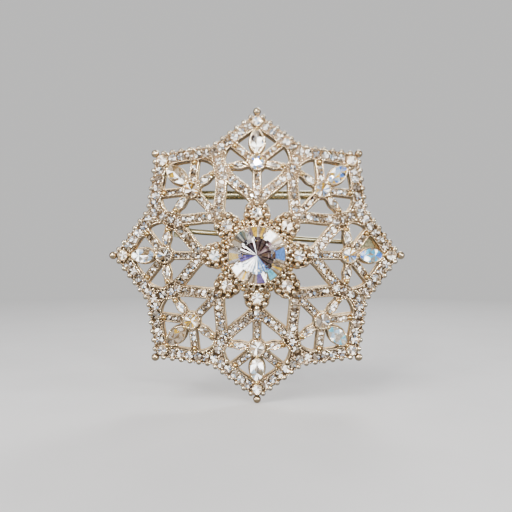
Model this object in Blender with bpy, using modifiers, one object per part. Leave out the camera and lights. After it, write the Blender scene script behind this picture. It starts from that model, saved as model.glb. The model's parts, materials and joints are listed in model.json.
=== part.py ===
"""A snowflake brooch: an openwork star set with stones, with a hinged pin and a safety catch on its back.

The pieces are drawn lying on their back: X to the right, Y up the face, Z out of the face, and the back
plane at Z = 0. An empty then stands the whole brooch up as it is worn, with its face towards -Y.
"""

import math

import bmesh
import bpy
from mathutils import Matrix, Vector

MM = 0.001
POINTS = 8
STEP_ANGLE = math.tau / POINTS
VALLEY_ANGLE = STEP_ANGLE / 2

# Rim of the star
TIP_RADIUS = 24.6 * MM
VALLEY_RADIUS = 20.3 * MM
RIM_WIDTH = 2.2 * MM
RIM_BULGE = 0.2 * MM
RIM_HEIGHT = 2.3 * MM
BALL_CIRCLE = 24.7 * MM
BALL_RADIUS = 0.68 * MM
BALL_LEVEL = 1.5 * MM

# Petal arms, drawn along a valley's radius: (distance along it, distance from it)
ARM_ROUTE = (
    (8.3 * MM, 3.35 * MM),
    (11.0 * MM, 3.35 * MM),
    (13.0 * MM, 0.25 * MM),
    (17.0 * MM, 0.25 * MM),
)
ARM_WIDTH = 1.8 * MM
ARM_HEIGHT = 2.1 * MM
STEM_START = 15.0 * MM
STEM_FLARE = 1.3 * MM

# Small snowflake in each point
HUB_STONE_CIRCLE = 15.86 * MM
STRUT_WIDTH = 1.3 * MM
STRUT_HEIGHT = 1.9 * MM
STRUT_ANGLE = math.radians(52)
STRUT_REACH = 5.4 * MM
INNER_STRUT_END = 9.0 * MM
LEAF_ANGLE = math.radians(97)
LEAF_REACH = 5.0 * MM
LEAF_OFFSET = 2.95 * MM
MARQUISE_CIRCLE = 19.5 * MM
TIP_STONE_CIRCLE = 22.9 * MM

# Middle
HUB_RADIUS = 6.0 * MM
HUB_HEIGHT = 1.3 * MM
HUB_OPENING = 2.4 * MM
FLOWER_CIRCLE = 7.25 * MM
FLOWER_RADIUS = 2.05 * MM
FLOWER_LOBES = 7
FLOWER_LOBE_DEPTH = 0.28 * MM
FLOWER_HEIGHT = 2.5 * MM
CUP_RADIUS = 5.1 * MM
CUP_FOOT = 4.1 * MM
CUP_OPENING = 1.6 * MM
CUP_CLEARANCE = 0.19 * MM
CLAW_RADIUS = 0.36 * MM

# Stones: girdle diameter, girdle level above the back plane, and the metal round them
CENTER_STONE = 9.4 * MM
CENTER_LEVEL = 4.3 * MM
POINT_STONE = 2.4 * MM
POINT_LEVEL = 2.35 * MM
POINT_COLLET = 1.5 * MM
FLOWER_STONE = 1.7 * MM
FLOWER_LEVEL = 2.35 * MM
TIP_STONE = 1.4 * MM
TIP_LEVEL = 2.35 * MM
TIP_COLLET = 0.95 * MM
MARQUISE_STONE = (4.1 * MM, 2.35 * MM)
MARQUISE_LEVEL = 2.1 * MM
LEAF_STONE = (2.4 * MM, 1.0 * MM)
LEAF_LEVEL = 1.95 * MM
BEZEL_WALL = 0.24 * MM
SEAT_CLEARANCE = 0.04 * MM

# How far each kind of setting stands above its stone's girdle. All differ, so that no two tops coincide
COLLET_RISE = 0.08 * MM
TIP_COLLET_RISE = 0.07 * MM
MARQUISE_RISE = 0.06 * MM
LEAF_RISE = 0.05 * MM
LEVEL_STEP = 0.01 * MM

# Gem proportions, as shares of the girdle's radius, and the hole through to the back
PILOT_SHARE = 0.35
TABLE_SHARE = 0.53
CROWN_SHARE = 0.30
GIRDLE_SHARE = 0.05
PAVILION_SHARE = 0.80
STAR_SHARE = 0.78
LOWER_SHARE = 0.20

# Pin and catch, along the stem's own line
HINGE_PLACE = (-13.2 * MM, 4.35 * MM)
CATCH_PLACE = (19.55 * MM, 2.1 * MM)
PIVOT_DEPTH = 1.9 * MM
SOLDER_GAP = 0.02 * MM
PLATE = 0.4 * MM
STEM_RADIUS = 0.5 * MM
STEM_POINT_RADIUS = 0.09 * MM
STEM_PAST_CATCH = 1.5 * MM
KNUCKLE_RADIUS = 0.85 * MM
KNUCKLE_WIDTH = 1.3 * MM
RIVET_RADIUS = 0.35 * MM
RIVET_HEAD = 0.6 * MM
RUNNING_CLEARANCE = 0.03 * MM
EAR_THICKNESS = 0.5 * MM
EAR_RADIUS = 0.85 * MM
EAR_SIDE_GAP = 0.06 * MM
HOUSING_RADIUS = 1.4 * MM
HOUSING_BORE = 1.04 * MM
HOUSING_LENGTH = 1.6 * MM
ROLLER_RADIUS = 1.0 * MM
ROLLER_BORE = 0.64 * MM
ROLLER_LENGTH = 2.6 * MM
CATCH_SLOT = 1.16 * MM
ROLLER_OVERHANG = 0.1 * MM
CATCH_FOOT_BELOW = 2.4 * MM
CATCH_FOOT_ABOVE = 1.0 * MM
CATCH_NECK = 1.7 * MM
LEVER_SIDE_GAP = 0.15 * MM
LEVER_REACH = 2.2 * MM
LEVER_THICKNESS = 0.45 * MM
LEVER_ANGLE = math.radians(-150)

# Bail tube
TUBE_LINE = 10.6 * MM
TUBE_HALF_LENGTH = 12.4 * MM
TUBE_RADIUS = 0.8 * MM
TUBE_BORE = 0.45 * MM

WELD = 1e-7
SHARP_ANGLE = math.radians(35)


# ---------------------------------------------------------------- scene and materials


def clear_scene():
    for old in list(bpy.data.objects):
        bpy.data.objects.remove(old, do_unlink=True)


def new_collection(name, helper=False):
    collection = bpy.data.collections.new(name)
    bpy.context.scene.collection.children.link(collection)
    collection.hide_render = helper
    return collection


def material(name, colour, roughness, metallic):
    made = bpy.data.materials.new(name)
    made.use_nodes = True
    shader = made.node_tree.nodes["Principled BSDF"]
    shader.inputs["Base Color"].default_value = (*colour, 1.0)
    shader.inputs["Roughness"].default_value = roughness
    shader.inputs["Metallic"].default_value = metallic
    return made


def add_object(name, mesh, look=None, parent=None, place=(0, 0, 0), turn=0.0, collection=None):
    """A named piece at `place` under `parent`, turned about the face's normal."""
    made = bpy.data.objects.new(name, mesh)
    (collection or PARTS).objects.link(made)
    made.parent = parent
    made.location = place
    made.rotation_euler = (0, 0, turn)
    if look and not mesh.materials:
        mesh.materials.append(look)
    if collection:
        made.hide_render = True
        made.display_type = "WIRE"
    return made


def polar(radius, angle, level=0.0):
    return Vector((radius * math.cos(angle), radius * math.sin(angle), level))


# ---------------------------------------------------------------- shape helpers


def mesh_of(shape, name):
    """The evaluated shape as a plain mesh with its caps welded; the shape itself is removed."""
    graph = bpy.context.evaluated_depsgraph_get()
    mesh = bpy.data.meshes.new_from_object(shape.evaluated_get(graph))
    mesh.name = name
    work = bmesh.new()
    work.from_mesh(mesh)
    bmesh.ops.transform(work, matrix=shape.matrix_world, verts=work.verts)
    bmesh.ops.remove_doubles(work, verts=work.verts, dist=WELD)
    bmesh.ops.recalc_face_normals(work, faces=work.faces)
    work.to_mesh(mesh)
    work.free()
    bpy.data.objects.remove(shape, do_unlink=True)
    return mesh


def shaded_round(mesh):
    """A round piece shaded smooth, with its true edges left sharp."""
    mesh.shade_smooth()
    mesh.set_sharp_from_angle(angle=SHARP_ANGLE)
    return mesh


def add_spline(curve, points, closed, radii=None):
    spline = curve.splines.new("POLY")
    spline.points.add(len(points) - 1)
    for i, point in enumerate(points):
        spline.points[i].co = (*point, 0.0, 1.0)[:4] if len(point) == 2 else (*point, 1.0)
        spline.points[i].radius = radii[i] if radii else 1.0
    spline.use_cyclic_u = closed


def plate(name, outlines, low, high):
    """A flat plate with these closed outlines, each (x, y), from the level `low` to the level `high`."""
    curve = bpy.data.curves.new(name, "CURVE")
    curve.dimensions = "2D"
    curve.fill_mode = "BOTH"
    curve.extrude = (high - low) / 2
    for outline in outlines:
        add_spline(curve, outline, True)
    shape = bpy.data.objects.new(name, curve)
    bpy.context.scene.collection.objects.link(shape)
    shape.location.z = (high + low) / 2
    bpy.context.view_layer.update()
    return mesh_of(shape, name)


def wire(name, points, radius, radii=None):
    """A round wire through these points, with filled caps."""
    curve = bpy.data.curves.new(name, "CURVE")
    curve.dimensions = "3D"
    curve.bevel_depth = radius
    curve.bevel_resolution = 2
    curve.use_fill_caps = True
    add_spline(curve, points, False, radii)
    shape = bpy.data.objects.new(name, curve)
    bpy.context.scene.collection.objects.link(shape)
    bpy.context.view_layer.update()
    return shaded_round(mesh_of(shape, name))


def turned(name, profile, steps):
    """A solid turned about Z from a profile of (radius, level), which runs down its outer side."""
    mesh = bpy.data.meshes.new(name)
    edges = [(i, i + 1) for i in range(len(profile) - 1)]
    mesh.from_pydata([(radius, 0, level) for radius, level in profile], edges, [])
    shape = bpy.data.objects.new(name, mesh)
    bpy.context.scene.collection.objects.link(shape)
    screw = shape.modifiers.new("Turn", "SCREW")
    screw.steps = steps
    screw.render_steps = steps
    screw.use_merge_vertices = True
    screw.merge_threshold = WELD
    bpy.context.view_layer.update()
    return shaded_round(mesh_of(shape, name))


def hull(name, corners):
    """The solid whose corners these are, all of them facet corners of a cut stone."""
    work = bmesh.new()
    for corner in corners:
        work.verts.new(corner)
    bmesh.ops.convex_hull(work, input=work.verts)
    bmesh.ops.recalc_face_normals(work, faces=work.faces)
    mesh = bpy.data.meshes.new(name)
    work.to_mesh(mesh)
    work.free()
    return mesh


def moved(mesh, matrix):
    mesh.transform(matrix)
    return mesh


def arc(centre, radius, start, end, steps):
    return [
        (centre[0] + radius * math.cos(a), centre[1] + radius * math.sin(a))
        for a in (start + (end - start) * i / steps for i in range(steps + 1))
    ]


def disc(radius, steps):
    return arc((0, 0), radius, 0, math.tau, steps)[:-1]


def rectangle(x_low, x_high, y_low, y_high):
    return [(x_low, y_low), (x_high, y_low), (x_high, y_high), (x_low, y_high)]


def boolean(target, other, operation):
    """Joins or cuts the target by an object or by every object of a collection.

    The frame's members share faces and edges, where the exact solver leaves open edges.
    """
    made = target.modifiers.new(operation.title(), "BOOLEAN")
    made.operation = operation
    made.solver = "MANIFOLD"
    if isinstance(other, bpy.types.Collection):
        made.operand_type = "COLLECTION"
        made.collection = other
    else:
        made.object = other
    return made


# ---------------------------------------------------------------- stones


def ring(radius, level, count, offset=0.0):
    return [polar(radius, offset + math.tau * i / count, level) for i in range(count)]


def brilliant(name, diameter):
    """A round brilliant: eight kites and stars over sixteen girdle facets and eight long mains."""
    r = diameter / 2
    half = math.pi / 8
    crown = CROWN_SHARE * r
    pavilion = PAVILION_SHARE * r
    girdle = GIRDLE_SHARE * r
    star = STAR_SHARE * r
    star_level = crown * (r - star * math.cos(half)) / (r - TABLE_SHARE * r)
    lower = LOWER_SHARE * r
    lower_level = -girdle - pavilion * (1 - lower * math.cos(half) / r)
    corners = ring(TABLE_SHARE * r, crown, 8)
    corners += ring(star, star_level, 8, half)
    corners += ring(r, 0, 16)
    corners += ring(r, -girdle, 16)
    corners += ring(lower, lower_level, 8, half)
    corners.append(Vector((0, 0, -girdle - pavilion)))
    return hull(name, corners)


def single_cut(name, diameter):
    """A small round stone with eight crown and eight pavilion facets."""
    r = diameter / 2
    corners = ring(TABLE_SHARE * r, CROWN_SHARE * r, 8)
    corners += ring(r, 0, 8)
    corners += ring(r, -GIRDLE_SHARE * r, 8)
    corners.append(Vector((0, 0, -(GIRDLE_SHARE + PAVILION_SHARE) * r)))
    return hull(name, corners)


def pointed_oval(length, width, steps):
    """The outline of a marquise: two equal arcs that meet at its points, on X."""
    half_length = length / 2
    half_width = width / 2
    radius = (half_length**2 + half_width**2) / (2 * half_width)
    sweep = math.asin(half_length / radius)
    top = arc((0, half_width - radius), radius, math.pi / 2 - sweep, math.pi / 2 + sweep, steps)
    bottom = [(-x, -y) for x, y in top]
    return top[:-1] + bottom[:-1]


def marquise(name, size, steps):
    """A marquise stone with a flat table above and a keel below."""
    length, width = size
    half_width = width / 2
    crown = CROWN_SHARE * half_width
    girdle = GIRDLE_SHARE * half_width
    pavilion = PAVILION_SHARE * half_width
    outline = pointed_oval(length, width, steps)
    table = pointed_oval(length, width, steps // 2)
    corners = [Vector((x * 0.62, y * TABLE_SHARE, crown)) for x, y in table]
    corners += [Vector((x, y, 0)) for x, y in outline]
    corners += [Vector((x, y, -girdle)) for x, y in outline]
    corners += [Vector((x, 0, -girdle - pavilion)) for x in (-length * 0.2, 0, length * 0.2)]
    return hull(name, corners)


def round_seat(name, diameter, level, steps, pierced=False):
    """The pocket under a round stone: a short bore, a cone and, if pierced, a hole through the back."""
    bore = (diameter / 2 + SEAT_CLEARANCE) / math.cos(math.pi / steps)
    pilot = PILOT_SHARE * diameter / 2
    ledge = level - GIRDLE_SHARE * diameter / 2 - SEAT_CLEARANCE
    floor = ledge - PAVILION_SHARE * (diameter / 2 - pilot) - SEAT_CLEARANCE
    top = level + 2 * MM
    profile = [(0, top), (bore, top), (bore, ledge)]
    if pierced:
        profile += [(pilot, floor), (pilot, -MM), (0, -MM)]
    else:
        profile += [(0, floor - PAVILION_SHARE * pilot)]
    return turned(name, profile, steps)


def pointed_seat(name, size, level, steps):
    """The pocket under a marquise stone: its outline down to the girdle, then a hopper to a slot."""
    length, width = size
    outer = pointed_oval(length + 3 * SEAT_CLEARANCE, width + 2 * SEAT_CLEARANCE, steps)
    ledge = level - GIRDLE_SHARE * width / 2 - SEAT_CLEARANCE
    floor = ledge - PAVILION_SHARE * width / 2 - 2 * SEAT_CLEARANCE
    corners = [Vector((x, y, z)) for z in (level + 2 * MM, ledge) for x, y in outer]
    corners += [Vector((x * 0.5, y * 0.3, floor)) for x, y in outer]
    return hull(name, corners)


# ---------------------------------------------------------------- star frame


def edge_offset(inset):
    """Radii of the tip and the valley of the rim's outline moved inwards by `inset`."""
    tip = polar(TIP_RADIUS, 0)
    valley = polar(VALLEY_RADIUS, VALLEY_ANGLE)
    along = (valley - tip).normalized()
    normal = Vector((along.y, -along.x, 0))
    distance = normal.dot(tip) - inset
    return distance / normal.x, distance / normal.dot(polar(1, VALLEY_ANGLE))


def star_outline(inset, bulge, steps):
    """The star's outline, each side bowed outwards by `bulge`."""
    tip_radius, valley_radius = edge_offset(inset)
    outline = []
    for i in range(2 * POINTS):
        start = polar(valley_radius if i % 2 else tip_radius, i * VALLEY_ANGLE)
        end = polar(tip_radius if i % 2 else valley_radius, (i + 1) * VALLEY_ANGLE)
        along = end - start
        out = Vector((along.y, -along.x, 0)).normalized()
        for s in range(steps):
            t = s / steps
            point = start + along * t + out * (4 * bulge * t * (1 - t))
            outline.append((point.x, point.y))
    return outline


def bezier(points, t):
    a, b, c, d = (Vector(p) for p in points)
    return a * (1 - t) ** 3 + b * (3 * t * (1 - t) ** 2) + c * (3 * t * t * (1 - t)) + d * t**3


def band(route, width):
    """The closed outline of a band of this width along a route of (x, y) points."""
    left = []
    right = []
    for i, point in enumerate(route):
        along = (route[min(i + 1, len(route) - 1)] - route[max(i - 1, 0)]).normalized()
        side = Vector((-along.y, along.x)) * (width / 2)
        left.append(tuple(point + side))
        right.append(tuple(point - side))
    return left + right[::-1]


def petal_arm(side):
    steps = 7
    route = [bezier([(x, side * y) for x, y in ARM_ROUTE], i / steps) for i in range(steps + 1)]
    return band(route, ARM_WIDTH)


def stem_outline():
    """The stem from the arms' meeting to the rim, flaring into the rim with two hollow curves."""
    half = ARM_WIDTH / 2
    end = edge_offset(RIM_WIDTH)[1] + RIM_WIDTH / 2
    flare_start = edge_offset(RIM_WIDTH)[1] - STEM_FLARE * 1.1
    side = [(STEM_START, half), (flare_start, half)]
    for i in range(1, 4):
        t = i / 3
        side.append((flare_start + (end - flare_start) * t, half + STEM_FLARE * 1.5 * t * t))
    return side + [(x, -y) for x, y in reversed(side)]


def strut(start, angle, length, width):
    """The outline of a straight strut from `start` in the direction `angle`."""
    along = Vector((math.cos(angle), math.sin(angle)))
    route = [Vector(start), Vector(start) + along * length]
    return band(route, width)


def flower_outline():
    outline = []
    count = FLOWER_LOBES * 4
    for i in range(count):
        angle = math.tau * i / count
        lobe = abs(math.cos(FLOWER_LOBES * angle / 2))
        radius = FLOWER_RADIUS + FLOWER_LOBE_DEPTH * lobe
        outline.append((radius * math.cos(angle), radius * math.sin(angle)))
    return outline


def repeat_member(name, mesh, collection, angle=0.0):
    for i in range(POINTS):
        add_object(f"{name}_{i + 1}", mesh, None, UPRIGHT, turn=angle + i * STEP_ANGLE, collection=collection)


def repeat_at(name, mesh, collection, radius, local=(0, 0), turn=0.0):
    """A copy in each point, at a place given from the point's hub stone or circle."""
    for i in range(POINTS):
        angle = i * STEP_ANGLE
        place = Matrix.Rotation(angle, 4, "Z") @ Vector((radius + local[0], local[1], 0))
        add_object(f"{name}_{i + 1}", mesh, None, UPRIGHT, place, angle + turn, collection)


def leaf_place(side):
    angle = side * LEAF_ANGLE
    return LEAF_OFFSET * math.cos(angle), LEAF_OFFSET * math.sin(angle)


def add_frame_members(members):
    """Everything that is joined into the cast frame, in one collection."""
    hub_stone = (HUB_STONE_CIRCLE, 0)
    low = -MM
    for side in (1, -1):
        arm = plate("arm", [petal_arm(side)], low, ARM_HEIGHT + side * LEVEL_STEP)
        repeat_member(f"arm{side}", arm, members, VALLEY_ANGLE)
        oblique = strut(hub_stone, side * STRUT_ANGLE, STRUT_REACH, STRUT_WIDTH)
        repeat_member(f"oblique{side}", plate("oblique", [oblique], low, STRUT_HEIGHT), members)
        leaf_arm = strut(hub_stone, side * LEAF_ANGLE, LEAF_REACH, STRUT_WIDTH * 0.8)
        repeat_member(f"leaf_arm{side}", plate("leaf_arm", [leaf_arm], low, STRUT_HEIGHT * 0.85), members)
        bezel = pointed_oval(LEAF_STONE[0] + 3 * BEZEL_WALL, LEAF_STONE[1] + 2 * BEZEL_WALL, 4)
        bezel_mesh = plate("leaf_bezel", [bezel], low, LEAF_LEVEL + LEAF_RISE)
        place, turn = leaf_place(side), side * LEAF_ANGLE
        repeat_at(f"leaf_bezel{side}", bezel_mesh, members, HUB_STONE_CIRCLE, place, turn)
    inner = strut((INNER_STRUT_END, 0), 0, HUB_STONE_CIRCLE - INNER_STRUT_END, STRUT_WIDTH)
    repeat_member("inner", plate("inner", [inner], low, STRUT_HEIGHT * 0.97), members)
    repeat_member("stem", plate("stem", [stem_outline()], low, ARM_HEIGHT - 3 * LEVEL_STEP), members, VALLEY_ANGLE)
    bezel = pointed_oval(MARQUISE_STONE[0] + 3 * BEZEL_WALL, MARQUISE_STONE[1] + 2 * BEZEL_WALL, 6)
    bezel_mesh = plate("marquise_bezel", [bezel], low, MARQUISE_LEVEL + MARQUISE_RISE)
    repeat_at("marquise_bezel", bezel_mesh, members, MARQUISE_CIRCLE)
    collet = plate("point_collet", [disc(POINT_COLLET, 16)], low, POINT_LEVEL + COLLET_RISE)
    repeat_at("point_collet", collet, members, HUB_STONE_CIRCLE)
    collet = plate("tip_collet", [disc(TIP_COLLET, 10)], low, TIP_LEVEL + TIP_COLLET_RISE)
    repeat_at("tip_collet", collet, members, TIP_STONE_CIRCLE)
    repeat_at("flower", plate("flower", [flower_outline()], low, FLOWER_HEIGHT), members, FLOWER_CIRCLE)
    hub = plate("hub", [disc(HUB_RADIUS, 48)], low, HUB_HEIGHT)
    add_object("hub", hub, None, UPRIGHT, collection=members)
    ball = bmesh.new()
    bmesh.ops.create_uvsphere(ball, u_segments=10, v_segments=6, radius=BALL_RADIUS)
    bmesh.ops.translate(ball, verts=ball.verts, vec=(0, 0, BALL_LEVEL))
    ball_mesh = bpy.data.meshes.new("tip_ball")
    ball.to_mesh(ball_mesh)
    ball.free()
    repeat_at("tip_ball", shaded_round(ball_mesh), members, BALL_CIRCLE)


def add_seats(seats):
    """Everything that is cut out of the cast frame, in one collection."""
    pocket = round_seat("point_seat", POINT_STONE, POINT_LEVEL, 12, pierced=True)
    repeat_at("point_seat", pocket, seats, HUB_STONE_CIRCLE)
    repeat_at("tip_seat", round_seat("tip_seat", TIP_STONE, TIP_LEVEL, 8), seats, TIP_STONE_CIRCLE)
    repeat_at("flower_seat", round_seat("flower_seat", FLOWER_STONE, FLOWER_LEVEL, 8), seats, FLOWER_CIRCLE)
    opening = plate("hub_opening", [disc(HUB_OPENING, 32)], -MM, 2 * HUB_HEIGHT)
    add_object("hub_opening", opening, None, UPRIGHT, collection=seats)
    pocket = pointed_seat("marquise_seat", MARQUISE_STONE, MARQUISE_LEVEL, 6)
    repeat_at("marquise_seat", pocket, seats, MARQUISE_CIRCLE)
    pocket = pointed_seat("leaf_seat", LEAF_STONE, LEAF_LEVEL, 4)
    for side in (1, -1):
        repeat_at(f"leaf_seat{side}", pocket, seats, HUB_STONE_CIRCLE, leaf_place(side), side * LEAF_ANGLE)
    half = 2 * TIP_RADIUS
    below = plate("back_cut", [rectangle(-half, half, -half, half)], -4 * MM, 0)
    add_object("back_cut", below, None, UPRIGHT, collection=seats)


def star_frame():
    members = new_collection("frame_members", helper=True)
    seats = new_collection("frame_cutters", helper=True)
    outlines = [star_outline(0, RIM_BULGE, 4), star_outline(RIM_WIDTH, RIM_BULGE, 3)]
    rim = plate("star_frame", outlines, -MM, RIM_HEIGHT)
    frame = add_object("star_frame", rim, PLATED, UPRIGHT)
    add_frame_members(members)
    add_seats(seats)
    boolean(frame, members, "UNION")
    boolean(frame, seats, "DIFFERENCE")
    return frame


# ---------------------------------------------------------------- stones in their seats


def add_stones():
    shapes = {
        "point_stone": (brilliant("point_stone", POINT_STONE), HUB_STONE_CIRCLE, POINT_LEVEL, CRYSTAL),
        "flower_stone": (single_cut("flower_stone", FLOWER_STONE), FLOWER_CIRCLE, FLOWER_LEVEL, CLEAR),
        "tip_stone": (single_cut("tip_stone", TIP_STONE), TIP_STONE_CIRCLE, TIP_LEVEL, CLEAR),
        "marquise": (marquise("marquise", MARQUISE_STONE, 6), MARQUISE_CIRCLE, MARQUISE_LEVEL, CRYSTAL),
    }
    for name, (mesh, radius, level, look) in shapes.items():
        for i in range(POINTS):
            angle = i * STEP_ANGLE
            add_object(f"{name}_{i + 1}", mesh, look, UPRIGHT, polar(radius, angle, level), angle)
    leaf = marquise("leaf_stone", LEAF_STONE, 4)
    for i in range(2 * POINTS):
        angle = (i // 2) * STEP_ANGLE
        side = -1 if i % 2 else 1
        x, y = leaf_place(side)
        place = Matrix.Rotation(angle, 4, "Z") @ Vector((HUB_STONE_CIRCLE + x, y, LEAF_LEVEL))
        add_object(f"leaf_stone_{i + 1}", leaf, CLEAR, UPRIGHT, place, angle + side * LEAF_ANGLE)
    center = brilliant("center_stone", CENTER_STONE)
    add_object("center_stone", center, CRYSTAL, UPRIGHT, (0, 0, CENTER_LEVEL))


# ---------------------------------------------------------------- centre setting


def claw_route():
    """A claw's centre line: up the cup's wall, past the girdle and in over the crown."""
    girdle = CENTER_STONE / 2
    past = girdle + CLAW_RADIUS + 0.08 * MM
    return [
        (CUP_RADIUS - 0.25 * MM, CENTER_LEVEL - 2.0 * MM),
        (past, CENTER_LEVEL - 0.7 * MM),
        (past, CENTER_LEVEL + 0.1 * MM),
        (past - 0.16 * MM, CENTER_LEVEL + 0.44 * MM),
        (girdle - 0.28 * MM, CENTER_LEVEL + 0.68 * MM),
    ]


def center_cup():
    """The raised round setting: a bowl with a foot, and eight claws bent over the stone."""
    girdle = CENTER_STONE / 2
    foot = HUB_HEIGHT + SOLDER_GAP
    rim_level = CENTER_LEVEL - 0.35 * MM
    ledge = CENTER_LEVEL - GIRDLE_SHARE * girdle - CUP_CLEARANCE
    shoulder = 0.93 * girdle
    wall = [
        (CUP_OPENING, foot),
        (CUP_OPENING, ledge - PAVILION_SHARE * (girdle - CUP_OPENING)),
        (shoulder, ledge - PAVILION_SHARE * (girdle - shoulder)),
        (girdle + SEAT_CLEARANCE, rim_level),
        (CUP_RADIUS, rim_level),
        (CUP_RADIUS, rim_level - 0.5 * MM),
        (CUP_FOOT, foot + 0.5 * MM),
        (CUP_FOOT, foot),
        (CUP_OPENING, foot),
    ]
    cup = add_object("center_cup", turned("center_cup", wall, 32), PLATED, UPRIGHT)
    claws = new_collection("claw_members", helper=True)
    route = [(radius, 0, level) for radius, level in claw_route()]
    claw = wire("claw", route, CLAW_RADIUS)
    repeat_member("claw", claw, claws, VALLEY_ANGLE)
    boolean(cup, claws, "UNION")


# ---------------------------------------------------------------- bail tube


def bail_tube():
    """A straight tube across the back of the two upper slanting points."""
    circle = disc(TUBE_RADIUS, 20)
    bore = disc(TUBE_BORE, 14)
    mesh = shaded_round(plate("bail_tube", [circle, bore], -TUBE_HALF_LENGTH, TUBE_HALF_LENGTH))
    moved(mesh, Matrix.Rotation(math.pi / 2, 4, "Y"))
    level = -TUBE_RADIUS - SOLDER_GAP
    add_object("bail_tube", mesh, BRASSY, UPRIGHT, (0, TUBE_LINE, level))


# ---------------------------------------------------------------- pin and catch


def pin_line():
    """An empty at the hinge, on the back plane, with X along the stem towards the catch."""
    run = Vector(CATCH_PLACE) - Vector(HINGE_PLACE)
    line = bpy.data.objects.new("pin_line", None)
    PARTS.objects.link(line)
    line.parent = UPRIGHT
    line.location = (*HINGE_PLACE, 0)
    line.rotation_euler.z = math.atan2(run.y, run.x)
    return line, run.length


def across(mesh):
    """Turns a plate drawn in X and Z's plane, so that its thickness lies along Y."""
    return moved(mesh, Matrix.Rotation(math.pi / 2, 4, "X"))


def along(mesh):
    """Turns a plate drawn in Y and Z's plane, so that its thickness lies along X."""
    return moved(mesh, Matrix.Rotation(math.pi / 2, 4, "Z") @ Matrix.Rotation(math.pi / 2, 4, "X"))


def ear_outline():
    """A hinge ear from the plate down round the pivot, as (along, depth below the pivot)."""
    top = PIVOT_DEPTH - SOLDER_GAP - PLATE / 2
    round_end = arc((0, 0), EAR_RADIUS, math.pi, math.tau, 10)
    return [(-EAR_RADIUS * 1.2, top), *round_end, (EAR_RADIUS * 1.2, top)]


def pin_joint(line):
    """The hinge bracket: a soldered plate with two ears and a hole for the rivet."""
    inside = KNUCKLE_WIDTH / 2 + EAR_SIDE_GAP
    half_width = inside + EAR_THICKNESS
    half_length = EAR_RADIUS * 1.5
    hole = disc(RIVET_RADIUS + SOLDER_GAP, 16)
    outline = rectangle(-half_length, half_length, -half_width, half_width)
    base = plate("pin_joint", [outline], -SOLDER_GAP - PLATE, -SOLDER_GAP)
    joint = add_object("pin_joint", base, BRASSY, line)
    ears = new_collection("ear_members", helper=True)
    for name, low in (("ear_left", inside), ("ear_right", -inside - EAR_THICKNESS)):
        ear = across(plate(name, [ear_outline(), hole], low, low + EAR_THICKNESS))
        add_object(name, ear, None, line, (0, 0, -PIVOT_DEPTH), collection=ears)
    boolean(joint, ears, "UNION")


def hinge_rivet(line):
    """The rivet through the ears and the knuckle, with a domed head at each end."""
    shank = KNUCKLE_WIDTH / 2 + EAR_SIDE_GAP + EAR_THICKNESS + SOLDER_GAP
    head = 0.3 * MM
    lower = [
        (RIVET_RADIUS, -shank),
        (RIVET_HEAD, -shank),
        (RIVET_HEAD * 0.7, -shank - head * 0.8),
        (0, -shank - head),
    ]
    profile = [(radius, -level) for radius, level in reversed(lower)] + lower
    mesh = across(turned("hinge_rivet", profile, 16))
    add_object("hinge_rivet", mesh, BRASSY, line, (0, 0, -PIVOT_DEPTH))


def pin_stem(line, reach):
    """The stem: a flat knuckle on the rivet and a round wire drawn to a point beyond the catch."""
    tip = reach + STEM_PAST_CATCH
    bore = disc(RIVET_RADIUS + RUNNING_CLEARANCE, 16)
    eye = disc(KNUCKLE_RADIUS, 24)
    knuckle = across(plate("pin_stem", [eye, bore], -KNUCKLE_WIDTH / 2, KNUCKLE_WIDTH / 2))
    stem = add_object("pin_stem", knuckle, STEEL, line, (0, 0, -PIVOT_DEPTH))
    stops = (KNUCKLE_RADIUS * 0.8, tip * 0.45, tip * 0.8, tip * 0.93, tip)
    widths = (1.0, 1.0, 0.85, 0.6, STEM_POINT_RADIUS / STEM_RADIUS)
    rod = wire("stem_wire", [(x, 0, 0) for x in stops], STEM_RADIUS, widths)
    helper = new_collection("stem_members", helper=True)
    add_object("stem_wire", rod, None, line, (0, 0, -PIVOT_DEPTH), collection=helper)
    boolean(stem, helper, "UNION")


def slotted_ring(outer, inner, slot):
    """A C outline open towards -Y, from the slot's one side round to its other."""
    outer_cut = math.asin(slot / 2 / outer)
    inner_cut = math.asin(slot / 2 / inner)
    start = -math.pi / 2
    outside = arc((0, 0), outer, start + outer_cut, start + math.tau - outer_cut, 22)
    inside = arc((0, 0), inner, start + math.tau - inner_cut, start + inner_cut, 18)
    return outside + inside


def catch_base(line, reach):
    """The catch's housing: a slotted ring on a plate soldered behind the marquise setting."""
    half = HOUSING_LENGTH / 2
    outline = slotted_ring(HOUSING_RADIUS, HOUSING_BORE, CATCH_SLOT)
    housing = along(plate("catch_base", [outline], -half, half))
    base = add_object("catch_base", housing, BRASSY, line, (reach, 0, -PIVOT_DEPTH))
    foot = new_collection("catch_members", helper=True)
    outline = rectangle(-1.5 * half, 1.5 * half, -CATCH_FOOT_BELOW, CATCH_FOOT_ABOVE)
    foot_plate = plate("catch_plate", [outline], -SOLDER_GAP - PLATE, -SOLDER_GAP)
    add_object("catch_plate", foot_plate, None, line, (reach, 0, 0), collection=foot)
    outline = rectangle(-half, half, -CATCH_NECK / 2, CATCH_NECK / 2)
    neck_low = -PIVOT_DEPTH + HOUSING_BORE + 0.08 * MM
    neck = plate("catch_neck", [outline], neck_low, -SOLDER_GAP - PLATE / 2)
    add_object("catch_neck", neck, None, line, (reach, 0, 0), collection=foot)
    boolean(base, foot, "UNION")


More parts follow.
